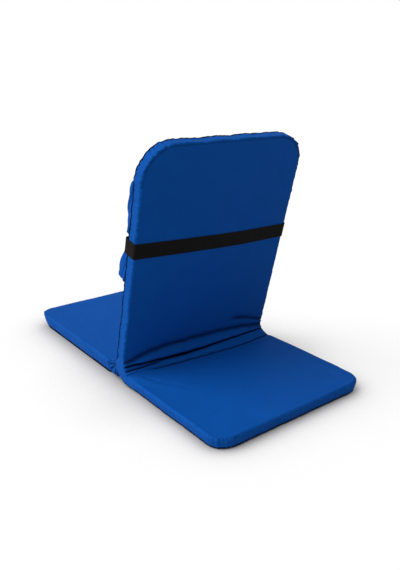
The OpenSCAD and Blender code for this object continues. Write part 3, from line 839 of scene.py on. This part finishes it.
def slack_crease(obj):
    """The long slack crease on the rear base's top, with cloth pulled flat beside it."""
    co = points_of(obj)
    line = spaced([Vector((x, rear_pivot.y + y, REAR_THICK)) for x, y in SLACK_CREASE], 0.002)
    near = np.flatnonzero((co[:, 2] > REAR_THICK / 2) & (co[:, 1] > rear_pivot.y + 0.03))
    away, along = near_line(co[near], line)
    fade = step_up(along / 0.03) * step_up((0.215 - along) / 0.12)
    side = np.sign(co[near, 0] - np.interp(co[near, 1], line[:, 1], line[:, 0]))
    rise = SLACK_RISE * (side > 0) * hill(away, -0.002, 0.040) - SLACK_DEPTH * np.exp(-away / 0.004)
    co[near, 2] += fade * rise
    set_points(obj, co)


# Lengths of the puckers round the boxing and of its slower waves, and how far along its two sides differ
PUCKERS = (0.0135, 0.022, 0.037)
SLOW_WAVES = (0.09, 0.16)
SIDE_SHIFT = 0.37


def ease_boxing(obj, shape, seed, amount):
    """Soft puckers round a pad's boxing, stronger where the cloth is eased round the far corners."""
    far_corner = shape.corners[1]
    co = points_of(obj)
    local = in_axes(co, shape.axes)
    normals = normals_of(obj)
    flat = normals @ np.array(shape.axes.to_3x3())[:, 2]
    x = np.abs(local[:, 0])
    y = local[:, 1]
    far = shape.half_width - far_corner
    up = shape.length - far_corner
    turn = np.arctan2(np.maximum(y - up, 0), np.maximum(x - far, 1e-6))
    along = np.where(x > far, np.minimum(y, up) + far_corner * turn, up + far_corner * math.pi / 2 + far - x)
    along = along + SIDE_SHIFT * (local[:, 0] < 0)
    in_corner = step_up((x - far + 0.04) / 0.08) * step_up((y - up + 0.04) / 0.08)
    boxing = step_up((0.95 - np.abs(flat)) / 0.4)
    inside = (y > 0.02) & (local[:, 2] > -0.012) & (local[:, 2] < shape.high + 0.012)
    wave = uneven(along, PUCKERS, seed)
    slow = uneven(along, SLOW_WAVES, seed + 1)
    lift = boxing * amount * ((0.45 + 0.55 * in_corner) * wave + 0.5 * slow)
    co += normals * (lift * inside)[:, None]
    set_points(obj, co)


def soft_faces(obj, amount, seed):
    """Broad, low waves over a cover, as foam and wadding give it."""
    co = points_of(obj)
    normals = normals_of(obj)
    x, y, z = co.T
    wave = uneven(x + 0.4 * y, (0.21, 0.13), seed)
    wave += uneven(z + y, (0.17, 0.09), seed + 2)
    wave += uneven(x - z - 0.6 * y, (0.11, 0.26), seed + 5)
    set_points(obj, co + normals * (amount * wave / 3)[:, None])


def fit_panel(obj, shape, side_of):
    """Stretches a swollen pad back to its panel's exact size, in the panel's own axes."""
    co = points_of(obj)
    local = in_axes(co, shape.axes)
    mine = side_of(co) & (local[:, 1] > 0.0)
    weight = step_up(local[:, 1] / 0.06)
    body = mine & (local[:, 1] > 0.08)
    z = local[:, 2]
    z0 = z[body].min()
    z1 = z[body].max()
    fitted = shape.low + (z - z0) / (z1 - z0) * (shape.high - shape.low)
    local[:, 2] = np.where(mine, z + (fitted - z) * weight, z)
    local[:, 1] = np.where(mine, local[:, 1] * shape.length / local[body, 1].max(), local[:, 1])
    co = out_of_axes(local, shape.axes)
    co[:, 0] *= shape.half_width / np.abs(co[:, 0]).max()
    set_points(obj, co)


# Height of the strap's middle up the back: it sags a little towards its right side
STRAP_LINE = (
    (-0.27, 0.3785), (-0.17, 0.3780), (-0.10, 0.3792), (0, 0.3835), (0.10, 0.3895), (0.19, 0.3950),
    (0.27, 0.4010))

# The strap's inner faces at its sides, behind the back and before the pillow, and the radius of its bends
STRAP_INNER = HALF_WIDTH + 0.0004
STRAP_REAR = -0.0011
STRAP_FRONT = -0.0487
STRAP_BEND = 0.0045
PILLOW_SLIDE = 0.040

# The back's front face, just behind the pillow's rear face
COVER_FRONT = -0.0392
PILLOW_REAR = -0.0393


def past_strap(local):
    """How far points lie above or below the strap; negative under it."""
    return np.abs(local[:, 2] - follow(local[:, 0], STRAP_LINE)) - STRAP_WIDTH / 2


def press_under_strap(obj):
    """Holds the cover just inside the strap wherever it can slide, and rounds the cover's edges there."""
    local = in_axes(points_of(obj), leaning_axes)
    under = step_up(1 - (past_strap(local) - PILLOW_SLIDE) / 0.012)
    low = COVER_FRONT
    high = STRAP_REAR - 0.0004
    past_x = np.abs(local[:, 0]) - (STRAP_INNER - 0.0005 - STRAP_BEND)
    past_y = np.abs(local[:, 1] - (low + high) / 2) - ((high - low) / 2 - STRAP_BEND)
    corner = np.hypot(np.maximum(past_x, 0), np.maximum(past_y, 0))
    gap = corner + np.minimum(np.maximum(past_x, past_y), 0) - STRAP_BEND
    gap = np.maximum(gap, 0) * under * (local[:, 1] > low - 0.002)
    scale = gap / np.maximum(corner, 1e-6)
    local[:, 0] -= np.sign(local[:, 0]) * np.maximum(past_x, 0) * scale
    local[:, 1] -= np.sign(local[:, 1] - (low + high) / 2) * np.maximum(past_y, 0) * scale
    set_points(obj, out_of_axes(local, leaning_axes))


def sink_under_strap(obj):
    """Presses a sewn seam in where the strap crosses it."""
    local = in_axes(points_of(obj), leaning_axes)
    proud = np.maximum(np.abs(local[:, 0]) - (STRAP_INNER - 0.0003), 0)
    local[:, 0] -= np.sign(local[:, 0]) * proud * step_up(1 - (past_strap(local) - 0.001) / 0.006)
    set_points(obj, out_of_axes(local, leaning_axes))


# The long cover: back, crease and rear base in one

def about_pivot(points_mm, pivot):
    return [(pivot.y + y / 1000, pivot.z + z / 1000) for y, z in points_mm]


def on_back_side(co):
    return crease_run(co) < 0


def on_rear_side(co):
    return crease_run(co) > 0


FOLD_REACHES = (0.10, 0.075)


def in_crease(co, reach):
    """Points of the crease's outer side, within reach of its middle."""
    out = (co - np.array(rear_pivot)) @ np.array(crease_out)
    return (np.abs(crease_run(co)) < reach) & (out > -0.002)


back_shape = PadShape(
    back_axes, size=(HALF_WIDTH, BACK_LENGTH, 0, BACK_THICK), corners=(NEAR_CORNER, BACK_CORNER),
    edges=(0.0028, 0.0034), undercut=0, firm_from=0.05)
rear_shape = PadShape(
    rear_axes, size=(HALF_WIDTH, REAR_LENGTH, CLOTH_UNDER, REAR_THICK), corners=(NEAR_CORNER, REAR_CORNER),
    edges=(0.0060, 0.0040), undercut=0.0085, firm_from=0.06)
seat_shape = PadShape(
    seat_axes, size=(HALF_WIDTH, SEAT_LENGTH, CLOTH_UNDER, SEAT_THICK), corners=(NEAR_CORNER, SEAT_CORNER),
    edges=(0.0090, 0.0045), undercut=0.0115, firm_from=0)

# Places of the long cover's seam: up the back's boxing, round the rear base's foot and past their hinge
BACK_SEAM_HEIGHT = BACK_THICK - 0.0042
FOOT_SEAM_HEIGHT = 0.0035
FOOT_SEAM_INSET = 0.006
SEAM_START = 0.022
BOOT_EDGE = HALF_WIDTH - 0.002
BOOT_SEAM = about_pivot(
    [(-46.5, 24), (-47, 12), (-43, 1), (-35, -10), (-24, -20.5), (-10, -28), (8, -32)], rear_pivot)
FACE_SEAM_INSET = 0.0042


def swollen_block(name, axes, size, corners, rounds, undercut):
    """A pad's block before it swells, in its place."""
    block = pad_block(name, swollen_start(*size), corners, rounds, undercut)
    return place(block, axes @ Matrix.Translation((0, SWELL, SWELL)))


def long_seam_line():
    """One closed line: along the back's front edge, down past the hinge and round the rear base's foot."""
    size = (HALF_WIDTH, BACK_LENGTH)
    back = edge_path(back_axes, size, back_shape.corners, BACK_SEAM_HEIGHT, SEAM_START)
    size = (HALF_WIDTH - FOOT_SEAM_INSET, REAR_LENGTH - FOOT_SEAM_INSET)
    rear = edge_path(rear_axes, size, rear_shape.corners, FOOT_SEAM_HEIGHT, SEAM_START)
    left = [(BOOT_EDGE, y, z) for y, z in BOOT_SEAM]
    right = [(-BOOT_EDGE, y, z) for y, z in BOOT_SEAM]
    corners = [*back[::6], *right, *rear[::-6], *reversed(left), back[0]]
    return spaced(corners, SEAM_STEP)


def face_seam_line(shape, height, start):
    """Where a pad's boxing is joined to its broad face, just inside the edge."""
    size = (shape.half_width - FACE_SEAM_INSET, shape.length - FACE_SEAM_INSET)
    return edge_path(shape.axes, size, shape.corners, height, start)


def long_cover():
    """The cover of back and rear base in one, with the painted shade of its folds."""
    back = swollen_block("back_block", back_axes, (HALF_WIDTH, BACK_LENGTH, BACK_THICK),
                         corners=(NEAR_CORNER, BACK_CORNER), rounds=(0.004, 0.004), undercut=0)
    rear = swollen_block("rear_block", rear_axes, (HALF_WIDTH, REAR_LENGTH, REAR_THICK),
                         corners=(NEAR_CORNER, REAR_CORNER), rounds=(0.007, 0.004), undercut=0.008)
    section = about_pivot([
        (-20, 68), (-28, 54), (-36, 38), (-43, 22), (-44, 12), (-40, 1), (-33, -9), (-22, -18.5), (-9, -26),
        (8, -31), (24, -33), (66, -33), (66, -3), (48, -2.5), (33, 0), (22, 4.5), (15, 12), (12.5, 22),
        (13, 36), (15, 58)
    ], rear_pivot)
    boot = prism("boot", section, HALF_WIDTH - 0.0022, 0.005)
    obj = join("long_cover", back, rear, boot)
    remesh(obj, PAD_GRID, 1)
    press_out(obj)
    fit_panel(obj, back_shape, on_back_side)
    fit_panel(obj, rear_shape, on_rear_side)
    for reach, fold_reach in zip(EDGE_REACHES, FOLD_REACHES):
        refine(obj, lambda middle: back_shape.near_edge(middle, reach) | rear_shape.near_edge(middle, reach)
               | in_crease(middle, fold_reach))
    back_shape.firm(obj, on_back_side)
    rear_shape.firm(obj, on_rear_side)
    square_corner(obj)
    soft_faces(obj, amount=0.0007, seed=4)
    ease_boxing(obj, back_shape, seed=2, amount=0.0023)
    ease_boxing(obj, rear_shape, seed=6, amount=0.0016)
    fold_shade = fold_crease(obj)
    slack_crease(obj)
    press_under_strap(obj)
    return obj, fold_shade


def blend_over_crease(obj):
    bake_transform(obj)


cover, fold_shade = long_cover()
seam_line = long_seam_line()
sew(cover, seam_line, depth=0.0012, width=0.0026, pucker=0.0012, pitch=0.011, seed=3)
back_face_seam = face_seam_line(back_shape, height=0, start=0.075)
rear_face_seam = face_seam_line(rear_shape, height=REAR_THICK, start=0.07)
sew(cover, back_face_seam, depth=0.0011, width=0.0020, pucker=0.0007, pitch=0.013, seed=5)
sew(cover, rear_face_seam, depth=0.0007, width=0.0020, pucker=0.0006, pitch=0.014, seed=8)
# Painted shade along the three seams, over the painted shade in the crease's folds
shade_seams(cover, fold_shade, (back_face_seam, 0.5), (rear_face_seam, 0.3), (seam_line, 0.85))
# Cloth places run on without a break from the back's rear face over the rear base's top
co = points_of(cover)
on_back_place = in_axes(co, back_axes)
on_rear_place = in_axes(co, rear_axes) * (1, -1, -1) + (0, -2 * HINGE_GAP, REAR_THICK)
share = step_up(0.5 + crease_run(co) / 0.06)[:, None]
dress(cover, on_back_place * (1 - share) + on_rear_place * share, blue_cloth)
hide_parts("back_cover", "back_foam", "rear_base_cover", "rear_base_foam")
blend_over_crease(cover)

long_seam = sewn_cord("long_cover_seam", cover, seam_line, radius=0.0019, closed=True, seed=3)
sink_under_strap(long_seam)
dress(long_seam, points_of(long_seam), seam_binding)
blend_over_crease(long_seam)


# The seat's cover

def everywhere(co):
    return np.ones(len(co), bool)


def seat_pad():
    obj = swollen_block("seat_pad", seat_axes, (HALF_WIDTH, SEAT_LENGTH, SEAT_THICK),
                        corners=(NEAR_CORNER, SEAT_CORNER), rounds=(0.010, 0.005), undercut=0.010)
    remesh(obj, PAD_GRID, 1)
    press_out(obj)
    fit_panel(obj, seat_shape, everywhere)
    for reach in EDGE_REACHES:
        refine(obj, lambda middle: seat_shape.near_edge(middle, reach))
    seat_shape.firm(obj, everywhere)
    soft_faces(obj, amount=0.0006, seed=9)
    ease_boxing(obj, seat_shape, seed=4, amount=0.0016)
    return obj


SEAT_SEAM_INSET = 0.008
SEAT_SEAM_HEIGHT = 0.0045


def gather_seat_end(obj):
    """Gathers at the seat's hinge end, where its cover is drawn towards the back."""
    co = points_of(obj)
    local = in_axes(co, seat_axes)
    normals = normals_of(obj)
    near = np.exp(-np.maximum(local[:, 1], 0) / 0.022)
    ends = np.exp(-(HALF_WIDTH - np.abs(local[:, 0])) / 0.03)
    wave = uneven(local[:, 0], (0.023, 0.037, 0.061), 3)
    folds = uneven(local[:, 2] + 0.5 * local[:, 1], (0.013, 0.021), 5)
    lift = near * (0.0014 * wave * (1 - ends) + 0.0022 * folds * ends)
    set_points(obj, co + normals * lift[:, None])


seat = seat_pad()
gather_seat_end(seat)
seat_line_size = (HALF_WIDTH - SEAT_SEAM_INSET, SEAT_LENGTH - SEAT_SEAM_INSET)
seat_line = edge_path(seat_axes, seat_line_size, seat_shape.corners, SEAT_SEAM_HEIGHT, start=0)
sew(seat, seat_line, depth=0.0012, width=0.0026, pucker=0.0009, pitch=0.012, seed=7)
seat_face_seam = face_seam_line(seat_shape, height=SEAT_THICK, start=0.03)
sew(seat, seat_face_seam, depth=0.0007, width=0.0020, pucker=0.0006, pitch=0.013, seed=2)
# Painted shade along the seat's two seams
shade_seams(seat, 0, (seat_face_seam, 0.3), (seat_line, 0.85))
dress(seat, in_axes(points_of(seat), seat_axes), blue_cloth)
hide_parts("seat_cover", "seat_foam")
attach(seat, "seat")

seat_seam = sewn_cord("seat_cover_seam", seat, seat_line, radius=0.0014, closed=False, seed=6)
dress(seat_seam, points_of(seat_seam), seam_binding)
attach(seat_seam, "seat")


# Cloth that joins seat and back over the front hinge

def seat_bridge():
    """The bridge cloth, with painted shade in the valleys at its bunched ends."""
    section = about_pivot([
        (-50, -3), (-52, -24), (-44, -40), (-26, -46), (-8, -44), (6, -34), (10, -16),
        (12, 2), (15, 16), (11, 28), (1, 25), (-11, 13), (-24, 5), (-38, 0)
    ], seat_pivot)
    obj = prism("seat_bridge", section, HALF_WIDTH - 0.0045, 0.007)
    remesh(obj, SOFT_GRID, 5)
    subdivide(obj)
    co = points_of(obj)
    wave = uneven(co[:, 0], (0.024, 0.039, 0.067), 7)
    # The two ends are bunched up where the seat's cover is sewn to the back's
    turn = np.arctan2(co[:, 2] - seat_pivot.z, co[:, 1] - seat_pivot.y)
    gather = uneven(0.026 * turn, (0.0075, 0.0120), 9)
    end = step_up((np.abs(co[:, 0]) - HALF_WIDTH + 0.030) / 0.022)
    set_points(obj, co + normals_of(obj) * (0.0014 * (1 - end) * wave + 0.0022 * end * gather)[:, None])
    # Painted shade in the valleys of the gathers at both ends
    return obj, 0.95 * end * step_up((0.25 - gather) / 0.6)


bridge, gather_shade = seat_bridge()
dress(bridge, points_of(bridge), blue_cloth)
shade_seams(bridge, gather_shade)
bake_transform(bridge)


# The pillow: two lobes with a waist under the strap

WAIST_HEIGHT = 0.399
WAIST_FRONT = -0.0482


def pillow():
    section = [(PILLOW_REAR - t / 1000, s / 1000) for t, s in (
        (2, 266), (13, 265), (27, 272), (46, 275), (53, 284), (55, 296), (52, 315), (48, 334), (41, 352),
        (31, 366), (19, 374), (10, 378), (7.5, 388), (7.5, 406), (10, 417), (20, 421), (28, 430), (32, 450),
        (36, 485), (37.5, 520), (37, 546), (34, 562), (26, 573), (13, 579), (2, 580)
    )]
    obj = prism("pillow", section, PILLOW_HALF - 0.002, 0.009)
    place(obj, leaning_axes)
    remesh(obj, SOFT_GRID, 2)
    press_out(obj)
    subdivide(obj)
    return obj


def slant_waist(obj):
    """Lets the pillow's waist follow the strap across the chair."""
    local = in_axes(points_of(obj), leaning_axes)
    shift = follow(local[:, 0], STRAP_LINE) - WAIST_HEIGHT
    local[:, 2] += shift * np.exp(-((local[:, 2] - WAIST_HEIGHT) / 0.075) ** 2)
    set_points(obj, out_of_axes(local, leaning_axes))


def wrinkle_pillow(obj):
    """Folds that run out from the strap's pinch, and upright folds down the pillow's ends."""
    co = points_of(obj)
    local = in_axes(co, leaning_axes)
    normals = normals_of(obj)
    x = local[:, 0]
    wander = 0.004 * uneven(local[:, 2], (0.11, 0.07), 2)
    folds = uneven(x + wander, (0.019, 0.031, 0.047), 6)
    pinch = 0.0022 * folds * np.exp(-np.maximum(past_strap(local), 0) / 0.045)
    end = step_up((np.abs(x) - PILLOW_HALF + 0.028) / 0.02)
    front = -local[:, 1]
    drape = 0.0020 * end * uneven(front + 0.25 * local[:, 2], (0.013, 0.022), 4)
    set_points(obj, co + normals * (pinch + drape)[:, None])


def draw_in_waist(obj):
    """Keeps the pillow's front behind the strap."""
    local = in_axes(points_of(obj), leaning_axes)
    under = step_up(1 - past_strap(local) / 0.004)
    over = np.maximum(WAIST_FRONT - local[:, 1], 0)
    local[:, 1] += over * under
    local[:, 1] = np.minimum(local[:, 1], PILLOW_REAR)
    set_points(obj, out_of_axes(local, leaning_axes))


cushion = pillow()
slant_waist(cushion)
wrinkle_pillow(cushion)
draw_in_waist(cushion)
dress(cushion, in_axes(points_of(cushion), leaning_axes), blue_cloth)
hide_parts("pillow_cover", "pillow_filling")
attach(cushion, "pillow")


# The elastic strap: a flat ribbed band round the back and the pillow's waist

STRAP_RIBS = 15
STRAP_STEP = 0.003
RIB_DEPTH = 0.00022


def strap_band():
    side = STRAP_INNER - STRAP_BEND
    rear = STRAP_REAR - STRAP_BEND
    front = STRAP_FRONT + STRAP_BEND
    centres = ((side, rear), (-side, rear), (-side, front), (side, front))
    ring = []
    for i, centre in enumerate(centres):
        ring += [Vector((*p, 0)) for p in arc(centre, STRAP_BEND, 90 * i, 90 * i + 90, 6)]
    ring = spaced(ring + [ring[0]], STRAP_STEP)[:-1]
    obj = ring_of("strap_band", ring, "NOTHING")
    bpy.ops.object.mode_set(mode="EDIT")
    step = STRAP_WIDTH / (2 * STRAP_RIBS)
    for i in range(2 * STRAP_RIBS):
        pick_edges(obj, lambda a, b: min(a.z, b.z) > i * step - TINY)
        bpy.ops.mesh.extrude_region_move(TRANSFORM_OT_translate={"value": (0, 0, step)})
    bpy.ops.mesh.select_all(action="SELECT")
    bpy.ops.mesh.normals_make_consistent(inside=False)
    bpy.ops.object.mode_set(mode="OBJECT")
    add_applied(obj, "SOLIDIFY", thickness=STRAP_THICK, offset=1)
    return obj


def shape_strap(obj):
    """Gives the band its ribs and its slight slant, and lays out its cloth places."""
    co = points_of(obj)
    normals = normals_of(obj)
    places = co.copy()
    angle = np.arctan2(co[:, 1] + 0.025, co[:, 0])
    places[:, 0] += 0.08 * angle
    ribbed = (np.abs(co[:, 0]) > HALF_WIDTH + 0.001) | (co[:, 1] > -0.0012) | (co[:, 1] < -0.0495)
    rib = 0.5 + 0.5 * np.cos(2 * math.pi * co[:, 2] / (STRAP_WIDTH / STRAP_RIBS))
    co[:, :2] -= normals[:, :2] * (RIB_DEPTH * rib * ribbed)[:, None]
    wave = 0.0005 * uneven(places[:, 0], (0.14, 0.23), 3)
    co[:, 2] += follow(co[:, 0], STRAP_LINE) - STRAP_WIDTH / 2 + wave
    set_points(obj, out_of_axes(co, leaning_axes))
    return places


strap = strap_band()
dress(strap, shape_strap(strap), elastic)
add_applied(strap, "BEVEL", width=0.0003, segments=2, limit_method="ANGLE")
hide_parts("strap")
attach(strap, "pillow")


# Black cloth under the two floor panels

UNDER_INSET = 0.011
UNDER_INSET_AT_CREASE = 0.017
UNDER_THICK = 0.0012


def under_cloth(name, axes, length, far_corner, near_inset):
    size = (2 * HALF_WIDTH - 2 * UNDER_INSET, length - UNDER_INSET - near_inset, UNDER_THICK)
    obj = pad_block(name, size, (NEAR_CORNER, far_corner), (0.0003, 0.0005), 0.0003)
    dress(obj, points_of(obj), black_cloth)
    return place(obj, axes @ Matrix.Translation((0, near_inset, 0)))


rear_under = under_cloth(
    "rear_base_under_cloth", rear_axes, REAR_LENGTH, REAR_CORNER, UNDER_INSET_AT_CREASE)
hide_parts("rear_base_underside")
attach(rear_under, "rear_base")
seat_under = under_cloth("seat_under_cloth", seat_axes, SEAT_LENGTH, SEAT_CORNER, UNDER_INSET)
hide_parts("seat_underside")
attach(seat_under, "seat")


# Floor, light and camera; the camera's values come from the photo's straight edges

FLOOR_COLOR = (0.60, 0.59, 0.59, 1)
FLOOR_COLOR_SEEN = (0.30, 0.29, 0.29, 1)
FLOOR_GLOW = 0.73
# How far the ambient occlusion looks and how steeply it dims the floor's glow: a painted contact shadow
SHADOW_REACH = 0.3
SHADOW_POWER = 1.8
SURROUND_LIGHT = 0.36
SURROUND_SEEN = 0.64
KEY_STRENGTH = 2.85
KEY_SPREAD = 60
KEY_DIRECTION = (-0.71, 0.24, -0.67)
CAMERA_PLACE = (1.0238, 1.4829, 0.8513)
CAMERA_YAW = 38.349
CAMERA_PITCH = 19.0093
CAMERA_LENS = 38.4194
CAMERA_SHIFT = -0.03435


def seen_directly(tree):
    """1 for camera, glossy and transmission rays, so that the white surroundings show in all of them."""
    path = tree.nodes.new("ShaderNodeLightPath")
    seen = math_node(tree, "MAXIMUM", path.outputs["Is Camera Ray"], path.outputs["Is Glossy Ray"])
    return math_node(tree, "MAXIMUM", seen, path.outputs["Is Transmission Ray"])


def floor_material():
    """A white floor that glows where seen directly; near the chair, ambient occlusion dims that glow, a painted
    contact shadow over the floor's lit shadow.
    """
    material, tree, shader = new_material("pale_floor")
    seen = seen_directly(tree)
    tree.links.new(color_mix(tree, seen, FLOOR_COLOR, FLOOR_COLOR_SEEN), shader.inputs["Base Color"])
    shader.inputs["Roughness"].default_value = 0.9
    shader.inputs["Specular IOR Level"].default_value = 0.1
    open_sky = tree.nodes.new("ShaderNodeAmbientOcclusion")
    open_sky.samples = 12
    open_sky.inputs["Distance"].default_value = SHADOW_REACH
    white = math_node(tree, "POWER", open_sky.outputs["AO"], SHADOW_POWER)
    shader.inputs["Emission Color"].default_value = (1, 1, 1, 1)
    white = math_node(tree, "MULTIPLY", white, FLOOR_GLOW)
    tree.links.new(math_node(tree, "MULTIPLY", seen, white), shader.inputs["Emission Strength"])
    return material


def aimed(name, data, direction):
    """A light or a camera in the scene that looks in the direction."""
    obj = bpy.data.objects.new(name, data)
    bpy.context.scene.collection.objects.link(obj)
    obj.rotation_mode = "QUATERNION"
    obj.rotation_quaternion = Vector(direction).to_track_quat("-Z", "Y")
    return obj


pick_none()
bpy.ops.mesh.primitive_plane_add(size=60, location=(0, 0, -0.0005))
floor = bpy.context.active_object
floor.name = "floor"
put_material(floor, floor_material())

world = bpy.data.worlds.new("studio")
bpy.context.scene.world = world
world.use_nodes = True
background = world.node_tree.nodes["Background"]
background.inputs["Color"].default_value = (1, 1, 1, 1)
strength = math_node(world.node_tree, "MULTIPLY", seen_directly(world.node_tree), SURROUND_SEEN)
strength = math_node(world.node_tree, "ADD", strength, SURROUND_LIGHT)
world.node_tree.links.new(strength, background.inputs["Strength"])

# A broad, even light from the front left, above
key = bpy.data.lights.new("key", "SUN")
key.energy = KEY_STRENGTH
key.angle = math.radians(KEY_SPREAD)
aimed("key", key, KEY_DIRECTION)

camera = bpy.data.cameras.new("camera")
camera.sensor_width = 36
camera.lens = CAMERA_LENS
camera.shift_x = CAMERA_SHIFT
yaw = math.radians(CAMERA_YAW)
pitch = math.radians(CAMERA_PITCH)
look = (-math.sin(yaw) * math.cos(pitch), -math.cos(yaw) * math.cos(pitch), -math.sin(pitch))
camera_object = aimed("camera", camera, look)
camera_object.location = CAMERA_PLACE
bpy.context.scene.camera = camera_object
bpy.context.scene.view_settings.view_transform = "Standard"
